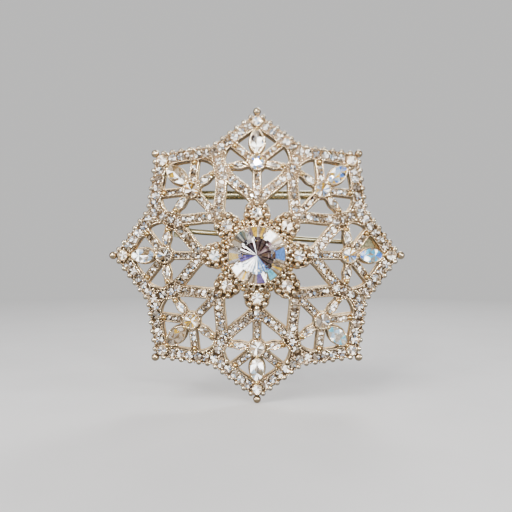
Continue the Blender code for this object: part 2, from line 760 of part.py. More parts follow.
def catch_roller(line, reach):
    """The roller that turns in the housing, with a lever on the end that stands out of it."""
    start = -HOUSING_LENGTH / 2 - ROLLER_OVERHANG
    end = start + ROLLER_LENGTH
    outline = slotted_ring(ROLLER_RADIUS, ROLLER_BORE, CATCH_SLOT)
    barrel = along(plate("catch_roller", [outline], start, end))
    roller = add_object("catch_roller", barrel, BRASSY, line, (reach, 0, -PIVOT_DEPTH))
    middle = (ROLLER_RADIUS + ROLLER_BORE) / 2
    outline = rectangle(middle, LEVER_REACH, -LEVER_THICKNESS / 2, LEVER_THICKNESS / 2)
    mesh = along(plate("lever", [outline], HOUSING_LENGTH / 2 + LEVER_SIDE_GAP, end))
    moved(mesh, Matrix.Rotation(LEVER_ANGLE, 4, "X"))
    helper = new_collection("lever_members", helper=True)
    add_object("lever", mesh, None, line, (reach, 0, -PIVOT_DEPTH), collection=helper)
    boolean(roller, helper, "UNION")


clear_scene()
PARTS = new_collection("brooch")
PLATED = material("champagne_plate", (0.86, 0.74, 0.56), 0.22, 1.0)
BRASSY = material("olive_gold", (0.72, 0.58, 0.32), 0.3, 1.0)
STEEL = material("pin_steel", (0.74, 0.68, 0.56), 0.25, 1.0)
CRYSTAL = material("aurora_crystal", (0.80, 0.86, 0.98), 0.03, 0.0)
CLEAR = material("clear_crystal", (0.93, 0.91, 0.92), 0.03, 0.0)
UPRIGHT = bpy.data.objects.new("upright", None)
PARTS.objects.link(UPRIGHT)
UPRIGHT.rotation_euler.x = math.pi / 2
star_frame()
add_stones()
center_cup()
bail_tube()
PIN_LINE, CATCH_REACH = pin_line()
pin_joint(PIN_LINE)
hinge_rivet(PIN_LINE)
pin_stem(PIN_LINE, CATCH_REACH)
catch_base(PIN_LINE, CATCH_REACH)
catch_roller(PIN_LINE, CATCH_REACH)
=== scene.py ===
import json
import math
import random
from collections import defaultdict, namedtuple

import bmesh
import bpy
import numpy as np
from mathutils import Matrix, Vector


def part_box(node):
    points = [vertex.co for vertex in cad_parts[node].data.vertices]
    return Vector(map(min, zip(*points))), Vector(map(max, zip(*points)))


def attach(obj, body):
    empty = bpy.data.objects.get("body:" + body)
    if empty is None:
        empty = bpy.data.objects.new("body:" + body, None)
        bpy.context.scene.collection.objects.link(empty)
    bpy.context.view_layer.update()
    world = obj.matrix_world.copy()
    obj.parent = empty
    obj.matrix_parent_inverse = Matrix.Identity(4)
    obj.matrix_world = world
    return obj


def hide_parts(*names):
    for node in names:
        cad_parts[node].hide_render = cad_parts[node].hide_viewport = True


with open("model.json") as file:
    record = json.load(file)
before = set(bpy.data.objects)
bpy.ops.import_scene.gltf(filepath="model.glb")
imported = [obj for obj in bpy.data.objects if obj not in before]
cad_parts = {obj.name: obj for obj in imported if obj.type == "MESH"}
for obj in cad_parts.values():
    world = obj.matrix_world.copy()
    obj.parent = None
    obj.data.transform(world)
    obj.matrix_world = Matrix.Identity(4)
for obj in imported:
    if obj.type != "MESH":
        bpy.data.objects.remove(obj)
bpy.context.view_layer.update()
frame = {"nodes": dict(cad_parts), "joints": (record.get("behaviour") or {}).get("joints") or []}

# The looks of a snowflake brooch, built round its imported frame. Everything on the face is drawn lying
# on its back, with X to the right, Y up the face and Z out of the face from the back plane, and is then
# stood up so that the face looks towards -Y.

MM = 0.001
POINTS = 8
SECTOR = math.tau / POINTS
VALLEY = SECTOR / 2
UPRIGHT = Matrix.Rotation(math.pi / 2, 4, "X")
DICE = random.Random(8)

# Levels above the back plane
BASE_LEVEL = 1.25 * MM
FLOOR = 1.95 * MM

# Bands of the frame, as the frame's own members run
RIM_WIDTH = 2.2 * MM
ARM_WIDTH = 1.8 * MM
ARM_ROUTE = ((8.3 * MM, 3.35 * MM), (11.0 * MM, 3.35 * MM),
             (13.0 * MM, 0.25 * MM), (17.0 * MM, 0.25 * MM))
STRUT_ANGLE = math.radians(52)
TIP_TO_BALL = 0.75 * MM
VALLEY_SHARE = 0.825

# Gem proportions, as shares of the girdle's radius
TABLE = 0.53
CROWN = 0.30
GIRDLE = 0.05
PAVILION = 0.80
STAR = 0.78
LOWER = 0.20
HALF_FACET = math.pi / 8
MARQUISE_TABLE = 0.62
MARQUISE_STAR = 0.84
MARQUISE_LOWER = 0.60
KEEL = 0.2


# -------- measures read from the frame


def face_box(node):
    """(lowest, highest) corner of a node in the face's own axes."""
    low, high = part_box(node)
    return Vector((low.x, low.z, -high.y)), Vector((high.x, high.z, -low.y))


class Stone:
    """The place, length, width and girdle level of a stone on the first point's radius."""

    def __init__(self, node):
        low, high = face_box(node)
        self.circle = (low.x + high.x) / 2
        self.length = high.x - low.x
        self.width = high.y - low.y
        self.level = high.z - CROWN * self.width / 2


POINT_STONE = Stone("point_stone_1")
FLOWER_STONE = Stone("flower_stone_1")
TIP_STONE = Stone("tip_stone_1")
MARQUISE = Stone("marquise_1")
CENTER_STONE = Stone("center_stone")
REACH = face_box("star_frame")[1].x
TIP_RADIUS = REACH - TIP_TO_BALL
VALLEY_RADIUS = TIP_RADIUS * VALLEY_SHARE


def polar(radius, angle, level=0.0):
    return Vector((radius * math.cos(angle), radius * math.sin(angle), level))


def frame_loops():
    """The closed outlines of the frame's flat back, as arrays of (x, y), the star's own outline first."""
    mesh = frame["nodes"]["star_frame"].data
    key = [(round(v.co.x / MM, 3), round(v.co.z / MM, 3)) for v in mesh.vertices]
    flat = [abs(v.co.y) < 0.002 * MM for v in mesh.vertices]
    ways = {}
    for face in mesh.polygons:
        if not all(flat[i] for i in face.vertices):
            continue
        corners = [key[i] for i in face.vertices]
        for a, b in zip(corners, corners[1:] + corners[:1]):
            if a == b:
                continue
            if b in ways.get(a, ()) or a in ways.get(b, ()):
                ways.get(a, set()).discard(b)
                ways.get(b, set()).discard(a)
            else:
                ways.setdefault(a, set()).add(b)
    loops = []
    while any(ways.values()):
        start = next(a for a in ways if ways[a])
        loop = [start]
        here = ways[start].pop()
        while here != start and ways.get(here):
            loop.append(here)
            here = ways[here].pop()
        loops.append(np.array(loop) * MM)
    return sorted(loops, key=lambda loop: -np.ptp(loop[:, 0]))


def area(loop):
    x, y = loop[:, 0], loop[:, 1]
    return 0.5 * float(np.sum(x * np.roll(y, -1) - np.roll(x, -1) * y))


def thinned(loop, least):
    """The loop without points closer together than `least` or lying on a straight run."""
    kept = [loop[0]]
    for point in loop[1:]:
        if np.linalg.norm(point - kept[-1]) > least:
            kept.append(point)
    if len(kept) > 3 and np.linalg.norm(kept[0] - kept[-1]) < least:
        kept.pop()
    turning = []
    for i, point in enumerate(kept):
        before = point - kept[i - 1]
        after = kept[(i + 1) % len(kept)] - point
        turn = abs(before[0] * after[1] - before[1] * after[0])
        if turn > 0.01 * np.linalg.norm(before) * np.linalg.norm(after):
            turning.append(point)
    return np.array(turning)


def rounded(loop, cut, steps=3):
    """The loop with each corner replaced by a small curve that starts `cut` before it."""
    made = []
    for i, point in enumerate(loop):
        before = loop[i - 1] - point
        after = loop[(i + 1) % len(loop)] - point
        lengths = np.linalg.norm(before), np.linalg.norm(after)
        start = point + before * min(cut / lengths[0], 0.4)
        end = point + after * min(cut / lengths[1], 0.4)
        for s in range(steps + 1):
            t = s / steps
            made.append(start * (1 - t) ** 2 + point * 2 * t * (1 - t) + end * t * t)
    return np.array(made)


def pushed(loop, distance):
    """The loop moved to its left by `distance`, point by point."""
    ahead = np.roll(loop, -1, axis=0) - np.roll(loop, 1, axis=0)
    ahead /= np.linalg.norm(ahead, axis=1)[:, None]
    return loop + np.stack([-ahead[:, 1], ahead[:, 0]], axis=1) * distance


# -------- materials


def feed(target, socket, value):
    """Gives a node's input a value, or a link to another node's output."""
    if isinstance(value, bpy.types.NodeSocket):
        target.id_data.links.new(value, target.inputs[socket])
    else:
        target.inputs[socket].default_value = value


def node(tree, kind, **settings):
    """A new node. Each setting feeds an input, or is a setting of the node itself."""
    made = tree.nodes.new(kind)
    for name, value in settings.items():
        if name in made.inputs:
            feed(made, name, value)
        else:
            setattr(made, name, value)
    return made


def start_material(name):
    made = bpy.data.materials.new(name)
    made.use_nodes = True
    tree = made.node_tree
    return made, tree, tree.nodes["Principled BSDF"]


def object_place(tree):
    return tree.nodes.new("ShaderNodeTexCoord").outputs["Object"]


def noise(tree, scale, detail=3.0, stretch=(1.0, 1.0, 1.0)):
    """Noise in the object's own metres, at so many bumps a metre."""
    place = node(tree, "ShaderNodeMapping", Vector=object_place(tree), Scale=stretch)
    made = node(tree, "ShaderNodeTexNoise", Scale=scale, Detail=detail, Vector=place.outputs["Vector"])
    return made.outputs["Fac"]


def remap(tree, value, low=0.0, high=1.0, span=(0.3, 0.7)):
    made = node(tree, "ShaderNodeMapRange", Value=value)
    for name, limit in zip(("From Min", "From Max", "To Min", "To Max"), (*span, low, high)):
        feed(made, name, limit)
    return made.outputs["Result"]


def blend_colours(tree, factor, low, high):
    made = node(tree, "ShaderNodeMix", data_type="RGBA", Factor=factor)
    colours = [socket for socket in made.inputs if socket.type == "RGBA"]
    colours[0].default_value = (*low, 1)
    colours[1].default_value = (*high, 1)
    return next(socket for socket in made.outputs if socket.type == "RGBA")


def add_bump(tree, shader, height, strength, distance):
    made = node(tree, "ShaderNodeBump", Strength=strength, Distance=distance, Height=height)
    feed(shader, "Normal", made.outputs["Normal"])


def island(tree):
    """A number that each loose part of the piece has for itself."""
    return tree.nodes.new("ShaderNodeNewGeometry").outputs["Random Per Island"]


def plated_metal(name, dark, light, smooth, worn, bump=0.12):
    """Plated metal: a tone that drifts over a few millimetres, and a fine rub that changes its gloss."""
    made, tree, shader = start_material(name)
    feed(shader, "Metallic", 1.0)
    feed(shader, "Base Color", blend_colours(tree, remap(tree, noise(tree, 260.0)), dark, light))
    feed(shader, "Roughness", remap(tree, noise(tree, 1500.0, 5.0), smooth, worn))
    add_bump(tree, shader, noise(tree, 5200.0, 2.0), bump, 0.02 * MM)
    return made


def drawn_wire(name, dark, light):
    """Spring wire with the fine lines that drawing leaves along it."""
    made, tree, shader = start_material(name)
    feed(shader, "Metallic", 1.0)
    lines = noise(tree, 900.0, 4.0, (0.05, 6.0, 6.0))
    feed(shader, "Base Color", blend_colours(tree, remap(tree, lines), dark, light))
    feed(shader, "Roughness", remap(tree, lines, 0.16, 0.34))
    add_bump(tree, shader, lines, 0.15, 0.01 * MM)
    return made


def crystal(name, low, high):
    """Cut glass: each stone its own faint tint, with a breath of haze here and there."""
    made, tree, shader = start_material(name)
    feed(shader, "Transmission Weight", 1.0)
    feed(shader, "IOR", 1.58)
    feed(shader, "Base Color", blend_colours(tree, island(tree), low, high))
    feed(shader, "Roughness", remap(tree, noise(tree, 700.0, 2.0), 0.0, 0.03, (0.5, 0.8)))
    return made


def foil(name, dark, light, glow):
    """The foil behind a stone, a little uneven. Its glow is painted light, standing in for the light that a
    cut stone gathers and sends back: the foil shines though it is no lamp.
    """
    made, tree, shader = start_material(name)
    feed(shader, "Metallic", 1.0)
    tint = blend_colours(tree, island(tree), dark, light)
    dimmed = node(tree, "ShaderNodeVectorMath", operation="SCALE", Scale=FOIL_MIRROR)
    feed(dimmed, 0, tint)
    feed(shader, "Base Color", dimmed.outputs["Vector"])
    # Painted light: the foil glows in its own tint, brighter or dimmer with the grain below.
    feed(shader, "Emission Color", tint)
    grain = noise(tree, 2400.0, 2.0)
    feed(shader, "Emission Strength", remap(tree, grain, glow * 0.6, glow * 1.4))
    feed(shader, "Roughness", remap(tree, grain, 0.03, 0.09))
    return made


# How much of the foils' own colour they mirror: fully bright ones mirror each other until all look white
FOIL_MIRROR = 0.25

PLATE = plated_metal("champagne_plate", (0.68, 0.50, 0.30), (0.88, 0.72, 0.49), 0.07, 0.18)
GRAIN = plated_metal("bright_grain", (0.78, 0.62, 0.41), (0.94, 0.82, 0.64), 0.04, 0.10)
# The ground between the stones is painted shade: the champagne metal made nearly black, standing in for the
# shade in the hollows between stones and settings.
PAINTED_SHADE_GROUND = plated_metal("painted_shade_ground", (0.06, 0.036, 0.018), (0.17, 0.11, 0.06), 0.22, 0.40, 0.3)
BACK_PLATE = plated_metal("cast_back", (0.55, 0.39, 0.21), (0.70, 0.53, 0.31), 0.24, 0.42, 0.35)
FITTING = plated_metal("olive_gold", (0.34, 0.31, 0.17), (0.52, 0.48, 0.30), 0.18, 0.36)
BRIGHT_GOLD = plated_metal("bright_gold", (0.70, 0.48, 0.20), (0.86, 0.64, 0.32), 0.08, 0.18)
WIRE = drawn_wire("pin_steel", (0.36, 0.33, 0.20), (0.54, 0.50, 0.34))
CLEAR = crystal("clear_crystal", (1.0, 0.93, 0.88), (1.0, 1.0, 1.0))
AURORA = crystal("aurora_crystal", (0.96, 0.97, 1.0), (1.0, 1.0, 1.0))

# The foils behind the stones, each under the letter that the mixes below call it by. Their colours and glow
# are painted light, the glints, reflections and fire of cut stones: W is a painted glint, d, m and g are
# painted dark facets where a stone reflects shade, and i, b, v, a and y are painted fire.
FOILS = {
    "w": foil("silver_foil", (0.66, 0.53, 0.40), (0.93, 0.81, 0.67), 0.60),
    "W": foil("glint_foil", (1.0, 0.97, 0.92), (1.0, 1.0, 1.0), 5.0),
    "i": foil("ice_foil", (0.42, 0.64, 1.0), (0.62, 0.82, 1.0), 0.95),
    "b": foil("sky_foil", (0.07, 0.24, 0.95), (0.16, 0.38, 1.0), 0.95),
    "v": foil("violet_foil", (0.14, 0.09, 0.55), (0.38, 0.30, 0.85), 0.5),
    "a": foil("aqua_foil", (0.08, 0.60, 1.0), (0.22, 0.78, 1.0), 1.0),
    "m": foil("mauve_foil", (0.14, 0.07, 0.09), (0.34, 0.21, 0.23), 0.24),
    "y": foil("amber_foil", (0.95, 0.50, 0.02), (1.0, 0.62, 0.04), 0.85),
    "o": foil("old_gold_foil", (0.40, 0.25, 0.11), (0.72, 0.52, 0.30), 0.35),
    "g": foil("grey_foil", (0.30, 0.23, 0.18), (0.52, 0.43, 0.36), 0.2),
    "d": foil("painted_dark_facet_foil", (0.05, 0.033, 0.025), (0.12, 0.08, 0.06), 0.02),
}


# -------- mesh helpers


def add_object(name, data):
    shape = bpy.data.objects.new(name, data)
    bpy.context.scene.collection.objects.link(shape)
    return shape


def finish_piece(mesh, name, looks, stands_for=(), body="brooch", upright=True):
    """Stands the mesh up, names it, gives it its materials and lets it ride on its body."""
    if upright:
        mesh.transform(UPRIGHT)
    mesh.name = name
    for look in looks:
        mesh.materials.append(look)
    shape = add_object(name, mesh)
    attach(shape, body)
    if stands_for:
        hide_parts(*stands_for)


def mesh_from(work):
    mesh = bpy.data.meshes.new("shape")
    work.to_mesh(mesh)
    work.free()
    return mesh


def hull(corners):
    """A cut stone from its facet corners. Its pavilion faces take the second material."""
    work = bmesh.new()
    for corner in corners:
        work.verts.new(corner)
    made = bmesh.ops.convex_hull(work, input=work.verts)
    bmesh.ops.delete(work, geom=made["geom_interior"], context="VERTS")
    bmesh.ops.dissolve_limit(work, angle_limit=math.radians(0.5), verts=work.verts, edges=work.edges)
    bmesh.ops.recalc_face_normals(work, faces=work.faces)
    for face in work.faces:
        face.material_index = 1 if face.normal.z < -0.2 else 0
    return mesh_from(work)


def ring(radius, level, count, offset=0.0):
    return [polar(radius, offset + math.tau * i / count, level) for i in range(count)]


def table_and_star(r):
    star_level = CROWN * r * (1 - STAR * math.cos(HALF_FACET)) / (1 - TABLE)
    return ring(TABLE * r, CROWN * r, 8) + ring(STAR * r, star_level, 8, HALF_FACET)


def bottom_point(r):
    return [Vector((0, 0, -(GIRDLE + PAVILION) * r))]


def brilliant(diameter):
    r = diameter / 2
    lower_level = -GIRDLE * r - PAVILION * r * (1 - LOWER * math.cos(HALF_FACET))
    corners = table_and_star(r) + ring(r, 0, 16) + ring(r, -GIRDLE * r, 16)
    return hull(corners + ring(LOWER * r, lower_level, 8, HALF_FACET) + bottom_point(r))


def single_cut(diameter):
    r = diameter / 2
    return hull(ring(TABLE * r, CROWN * r, 8) + ring(r, 0, 8) + ring(r, -GIRDLE * r, 8) + bottom_point(r))


def pointed_oval(length, width, steps):
    """The outline of a marquise, from its right-hand point round its upper side."""
    half_length, half_width = length / 2, width / 2
    radius = (half_length**2 + half_width**2) / (2 * half_width)
    sweep = math.asin(half_length / radius)
    angles = [math.pi / 2 - sweep + 2 * sweep * i / steps for i in range(steps)]
    top = [(radius * math.cos(a), half_width - radius + radius * math.sin(a)) for a in angles]
    return np.array(top + [(-x, -y) for x, y in top])


def marquise_cut(length, width):
    half = width / 2
    outline = pointed_oval(length, width, 8)
    table = pointed_oval(length * MARQUISE_TABLE, width * TABLE, 4)
    star = pointed_oval(length * MARQUISE_STAR, width * STAR, 4)
    star_level = CROWN * half * (1 - STAR) / (1 - TABLE)
    corners = [Vector((x, y, CROWN * half)) for x, y in table]
    corners += [Vector((x, y, star_level * 1.12)) for x, y in star]
    corners += [Vector((x, y, z)) for z in (0, -GIRDLE * half) for x, y in outline]
    corners += [Vector((x * length, 0, -(GIRDLE + PAVILION) * half)) for x in (-KEEL, 0.0, KEEL)]
    lower = pointed_oval(length * MARQUISE_LOWER, width * 0.42, 4)
    corners += [Vector((x, y, -(GIRDLE + PAVILION * 0.66) * half)) for x, y in lower]
    return hull(corners)


def ball(radius, finer=False):
    work = bmesh.new()
    bmesh.ops.create_icosphere(work, subdivisions=3 if finer else 2, radius=radius)
    for face in work.faces:
        face.smooth = True
    return mesh_from(work)


def turned(profile, steps):
    """A closed ring turned about Z from a closed profile of (radius, level)."""
    work = bmesh.new()
    rows = []
    for s in range(steps):
        angle = math.tau * s / steps
        rows.append([work.verts.new(polar(radius, angle, level)) for radius, level in profile])
    count = len(profile)
    for s in range(steps):
        here, there = rows[s], rows[(s + 1) % steps]
        for i in range(count):
            j = (i + 1) % count
            work.faces.new((here[i], there[i], there[j], here[j]))
    bmesh.ops.recalc_face_normals(work, faces=work.faces)
    for face in work.faces:
        face.smooth = True
    return mesh_from(work)


def tube(points, radius, closed=False, sides=8, widths=None):
    """A round wire through these points, as a loop or with flat ends."""
    points = [Vector(p) for p in points]
    count = len(points)
    work = bmesh.new()
    rows = []
    side = Vector((0, 0, 1))
    for i, point in enumerate(points):
        if closed:
            ahead = (points[(i + 1) % count] - points[i - 1]).normalized()
        else:
            ahead = (points[min(i + 1, count - 1)] - points[max(i - 1, 0)]).normalized()
        if abs(ahead.dot(side)) > 0.98:
            side = Vector((0, 1, 0))
        across = ahead.cross(side).normalized()
        side = across.cross(ahead)
        r = radius * (widths[i] if widths else 1.0)
        row = []
        for k in range(sides):
            a = math.tau * k / sides
            row.append(work.verts.new(point + across * (r * math.cos(a)) + side * (r * math.sin(a))))
        rows.append(row)
    for i in range(count if closed else count - 1):
        here, there = rows[i], rows[(i + 1) % count]
        for k in range(sides):
            work.faces.new((here[k], here[k - 1], there[k - 1], there[k]))
    if not closed:
        work.faces.new(rows[0])
        work.faces.new(rows[-1][::-1])
    bmesh.ops.recalc_face_normals(work, faces=work.faces)
    for face in work.faces:
        face.smooth = len(face.verts) == 4
    return mesh_from(work)


def flat_plate(loops, low, high):
    """A plate with these outlines and holes. It is filled in at a thousand times its size."""
    curve = bpy.data.curves.new("plate", "CURVE")
    curve.dimensions = "2D"
    curve.fill_mode = "BOTH"
    curve.extrude = (high - low) / 2 / MM
    for loop in loops:
        spline = curve.splines.new("POLY")
        spline.points.add(len(loop) - 1)
        for i, (x, y) in enumerate(loop):
            spline.points[i].co = (x / MM, y / MM, 0, 1)
        spline.use_cyclic_u = True
    shape = add_object("plate", curve)
    bpy.context.view_layer.update()
    graph = bpy.context.evaluated_depsgraph_get()
    mesh = bpy.data.meshes.new_from_object(shape.evaluated_get(graph))
    bpy.data.objects.remove(shape, do_unlink=True)
    bpy.data.curves.remove(curve)
    work = bmesh.new()
    work.from_mesh(mesh)
    bmesh.ops.remove_doubles(work, verts=work.verts, dist=1e-4)
    bmesh.ops.dissolve_degenerate(work, dist=1e-4, edges=work.edges)
    bmesh.ops.scale(work, verts=work.verts, vec=(MM, MM, MM))
    bmesh.ops.translate(work, verts=work.verts, vec=(0, 0, (low + high) / 2))
    bmesh.ops.recalc_face_normals(work, faces=work.faces)
    for face in work.faces:
        face.smooth = False
    bpy.data.meshes.remove(mesh)
    return mesh_from(work)


def joined(parts):
    """One mesh from (mesh, matrix) pairs, keeping each face's material and smoothness."""
    points, faces, indices, smooth = [], [], [], []
    start = 0
    known = {}
    for mesh, matrix in parts:
        if mesh.name not in known:
            co = np.empty(len(mesh.vertices) * 3)
            mesh.vertices.foreach_get("co", co)
            polygons = [tuple(p.vertices) for p in mesh.polygons]
            looks = [p.material_index for p in mesh.polygons]
            soft = [p.use_smooth for p in mesh.polygons]
            known[mesh.name] = (co.reshape(-1, 3), polygons, looks, soft)
        co, polygons, looks, soft = known[mesh.name]
        turn = np.array(matrix.to_3x3())
        points.append(co @ turn.T + np.array(matrix.translation))
        faces.extend(tuple(i + start for i in polygon) for polygon in polygons)
        indices.extend(looks)
        smooth.extend(soft)
        start += len(co)
    mesh = bpy.data.meshes.new("joined")
    mesh.from_pydata(np.concatenate(points).tolist(), [], faces)
    mesh.polygons.foreach_set("material_index", indices)
    mesh.polygons.foreach_set("use_smooth", smooth)
    mesh.update()
    return mesh


def at(place, turn=0.0, tilt=0.0, size=1.0):
    spin = Matrix.Rotation(turn, 4, "Z")
    lean = Matrix.Rotation(tilt, 4, polar(1, 7 * turn))
    return Matrix.Translation(place) @ lean @ spin @ Matrix.Scale(size, 4)


def all_round(places):
    """Each (place, turn) repeated in the eight sectors."""
    for place, turn in places:
        for i in range(POINTS):
            yield Matrix.Rotation(i * SECTOR, 4, "Z") @ Vector(place), turn + i * SECTOR


# -------- the frame


OUTLINES = [thinned(loop, 0.03 * MM) for loop in frame_loops()]
SMOOTH = [rounded(loop, 0.5 * MM) for loop in OUTLINES if abs(area(loop)) > 1.0 * MM * MM]
EDGES = np.concatenate([np.stack([loop, np.roll(loop, -1, axis=0)], 1) for loop in OUTLINES])


def edge_distance(x, y):
    """How far a point is from the frame's nearest edge, or a negative number if it is in an opening."""
    start, end = EDGES[:, 0], EDGES[:, 1]
    run = end - start
    point = np.array((x, y))
    share = np.clip(((point - start) * run).sum(axis=1) / (run * run).sum(axis=1), 0, 1)
    near = float(np.linalg.norm(start + run * share[:, None] - point, axis=1).min())
    across = (start[:, 1] > y) != (end[:, 1] > y)
    crossing = start[across, 0] + (y - start[across, 1]) / run[across, 1] * run[across, 0]
    return near if int((crossing > x).sum()) % 2 else -near


# How a kind of stone or bead is set, in millimetres: its radius, the metal left at an edge, the gap to its
# neighbours, where below nothing is an overlap, and the least share of its size that is still worth setting
Fit = namedtuple("Fit", "group radius wall gap least", defaults=(0.8,))
VALLEY_STONE = Fit("rim_stone", 0.66, 0.1, 0.04, 0.5)
RIM_STONE = Fit("rim_stone", 0.64, 0.1, 0.04)
INNER_RIM_BEAD = Fit("bead", 0.26, 0.0, -0.14, 0.6)
STEM_STONE = Fit("arm_stone", 0.6, 0.12, 0.04, 0.6)
ARM_STONE = Fit("arm_stone", 0.52, 0.16, 0.04)
ARM_BEAD = Fit("bead", 0.17, 0.05, -0.08, 0.7)
FIRST_STRUT_STONE = Fit("strut_stone", 0.46, 0.1, 0.02)
STRUT_STONE = Fit("strut_stone", 0.42, 0.1, 0.02, 0.7)
BRANCH_STONE = Fit("strut_stone", 0.42, 0.08, 0.02, 0.7)
STRUT_BEAD = Fit("bead", 0.14, 0.0, -0.1, 0.7)
BRANCH_END = Fit("gold_bead", 0.46, -0.1, -0.1, 0.5)
LOOSE_BEAD = Fit("bead", 0.2, 0.04, -0.04, 0.55)
ON_LINE = 0.01 * MM


class Sector:
    """What sits on one eighth of the face. Each thing is kept clear of the edges and of its neighbours."""

    def __init__(self):
        self.taken = np.zeros((0, 3))
        self.groups = defaultdict(list)

    def keep(self, x, y, radius):
        turns = [i * SECTOR for i in range(-1, 2)]
        mirrored = ((x, y), (x, -y))
        rows = [
            (px * math.cos(t) - py * math.sin(t), px * math.sin(t) + py * math.cos(t), radius)
            for t in turns
            for px, py in mirrored
        ]
        self.taken = np.concatenate([self.taken, rows])

    def room(self, x, y):
        gaps = np.hypot(self.taken[:, 0] - x, self.taken[:, 1] - y) - self.taken[:, 2]
        return float(gaps.min())

    def put(self, fit, x, y):
        """Sets one of these if there is room for it, and its mirror image across the point's radius."""
        room = min(edge_distance(x, y) - fit.wall * MM, self.room(x, y) - fit.gap * MM)
        off_valley = abs(math.atan2(y, x) - VALLEY) * math.hypot(x, y)
        for off_line in (abs(y), off_valley):
            if off_line > ON_LINE:
                room = min(room, off_line - fit.gap * MM / 2)
        if room < fit.least * fit.radius * MM:
            return
        fitted = min(fit.radius * MM, room)
        ends = (y, -y) if min(abs(y), off_valley) > ON_LINE else (y,)
        self.groups[fit.group].extend((Vector((x, end, 0)), fitted) for end in ends)
        self.keep(x, y, fitted)

    def whole(self, group):
        """Everything of a group on all eight sectors, as (place, radius)."""
        for i in range(POINTS):
            turn = Matrix.Rotation(i * SECTOR, 4, "Z")
            for place, radius in self.groups[group]:
                yield turn @ place, radius


def run_along(path, pitch, start=0.0):
    """Points every `pitch` along a path of (x, y), each with the direction of the path there."""
    path = [Vector((x, y)) for x, y in path]
    lengths = [(b - a).length for a, b in zip(path, path[1:])]
    travelled = start
    while travelled <= sum(lengths) + 1e-9:
        left = travelled
        for a, b, length in zip(path, path[1:], lengths):
            if left <= length or b is path[-1]:
                yield a + (b - a) * (left / length), (b - a) / length
                break
            left -= length
        travelled += pitch


def bezier(ends, steps=40):
    made = []
    for i in range(steps + 1):
        t = i / steps
        shares = ((1 - t) ** 3, 3 * t * (1 - t) ** 2, 3 * t * t * (1 - t), t**3)
        made.append(sum((Vector(p) * s for p, s in zip(ends, shares)), Vector((0, 0))))
    return made


def turned_to_valley(path):
    """A path drawn along a valley's radius, laid on the side of that valley towards the first point."""
    turn = Matrix.Rotation(VALLEY, 2)
    return [turn @ Vector((x, -y)) for x, y in path]


def arm_row(sector, path, pitch, start):
    """A row of stones along an arm, with a pair of small beads between each two."""
    for place, _ in run_along(path, pitch, start):
        sector.put(ARM_STONE, *place)
    for place, ahead in run_along(path, pitch, start + pitch / 2):
        aside = Vector((-ahead.y, ahead.x)) * (ARM_WIDTH / 2 - ARM_BEAD.radius * MM - 0.1 * MM)
        for side in (-1, 1):
            spot = place + aside * side
            if spot.y > -ON_LINE:
                sector.put(ARM_BEAD, *spot)


LEAF_CENTER = Vector([(a + b) / 2 for a, b in zip(*face_box("leaf_stone_1"))])
LEAF_PLACE = Vector((LEAF_CENTER.x, abs(LEAF_CENTER.y)))
LEAF_AWAY = LEAF_PLACE - Vector((POINT_STONE.circle, 0))
LEAF_TURN = math.atan2(LEAF_AWAY.y, LEAF_AWAY.x)
LEAF_LENGTH = 2.4 * MM
LEAF_WIDTH = 1.0 * MM
COLLET_RADIUS = 1.5 * MM
TIP_COLLET_RADIUS = 0.95 * MM
FLOWER_RADIUS = 2.05 * MM
BEZEL_WALL = 0.24 * MM


def rim_line(inset):
    """The line that runs this far inside the star's outline, from the first valley to the first tip."""
    tip = Vector((TIP_RADIUS, 0))
    valley = polar(VALLEY_RADIUS, VALLEY).xy
    along = (tip - valley).normalized()
    slope = math.atan2(abs(along.y), along.x)
    at_valley = inset / math.sin(math.pi - slope - VALLEY)
    near = valley * (1 - at_valley / valley.length)
    far = tip - Vector((inset / math.sin(slope), 0))
    return near, far


# A pointed oval as circles: each one's place and radius, as shares of the oval's half length and half width
OVAL_CIRCLES = ((-0.8, 0.4), (-0.45, 0.8), (0, 1.1), (0.45, 0.8), (0.8, 0.4))
HUB_RADIUS = 6.1 * MM
RIM_PITCHES = 6.35
RIM_BEAD = 0.46 * MM
RIM_BEAD_KEPT = 0.4 * MM
ARM_PITCH = 1.12 * MM
ARM_STONES_FROM = 9.7 * MM
ARMS_JOIN = 0.72 * MM
STEM_STONES_AT = (14.75 * MM, 16.1 * MM, 17.5 * MM)
STRUT_FROM = 9.85 * MM
STRUT_PITCH = 0.95 * MM
BRANCH_FROM = 2.02 * MM
BRANCH_PITCH = 0.92 * MM
BRANCH_REACH = 4.72 * MM
LOOSE_TRIES = 2200


def keep_settings(sector):
    """Keeps the pave clear of the collets, the bezels, the flower and the hub."""
    sector.keep(POINT_STONE.circle, 0, COLLET_RADIUS)
    sector.keep(TIP_STONE.circle, 0, TIP_COLLET_RADIUS)
    sector.keep(FLOWER_STONE.circle, 0, FLOWER_RADIUS + 0.05 * MM)
    sector.keep(0, 0, HUB_RADIUS)
    for share, radius in OVAL_CIRCLES:
        reach = MARQUISE.circle + share * MARQUISE.length / 2
        sector.keep(reach, 0, radius * MARQUISE.width / 2 + BEZEL_WALL)
        place = LEAF_PLACE + LEAF_AWAY.normalized() * share * LEAF_LENGTH / 2
        sector.keep(*place, radius * LEAF_WIDTH / 2 + BEZEL_WALL)


def set_rim(sector):
    middle = rim_line(RIM_WIDTH / 2)
    pitch = (middle[1] - middle[0]).length / RIM_PITCHES
    sector.put(VALLEY_STONE, *middle[0])
    for place, _ in run_along(middle, pitch, pitch):
        sector.put(RIM_STONE, *place)
    outer = rim_line(0.16 * MM)
    step = (outer[1] - outer[0]).length / RIM_PITCHES
    for place, _ in run_along(outer, step, step / 2):
        both = [(Vector((place.x, side * place.y, 0)), RIM_BEAD) for side in (-1, 1)]
        sector.groups["rim_bead"].extend(both)
        sector.keep(*place, RIM_BEAD_KEPT)
    for place, _ in run_along(rim_line(RIM_WIDTH - 0.34 * MM), pitch, pitch / 2):
        sector.put(INNER_RIM_BEAD, *place)


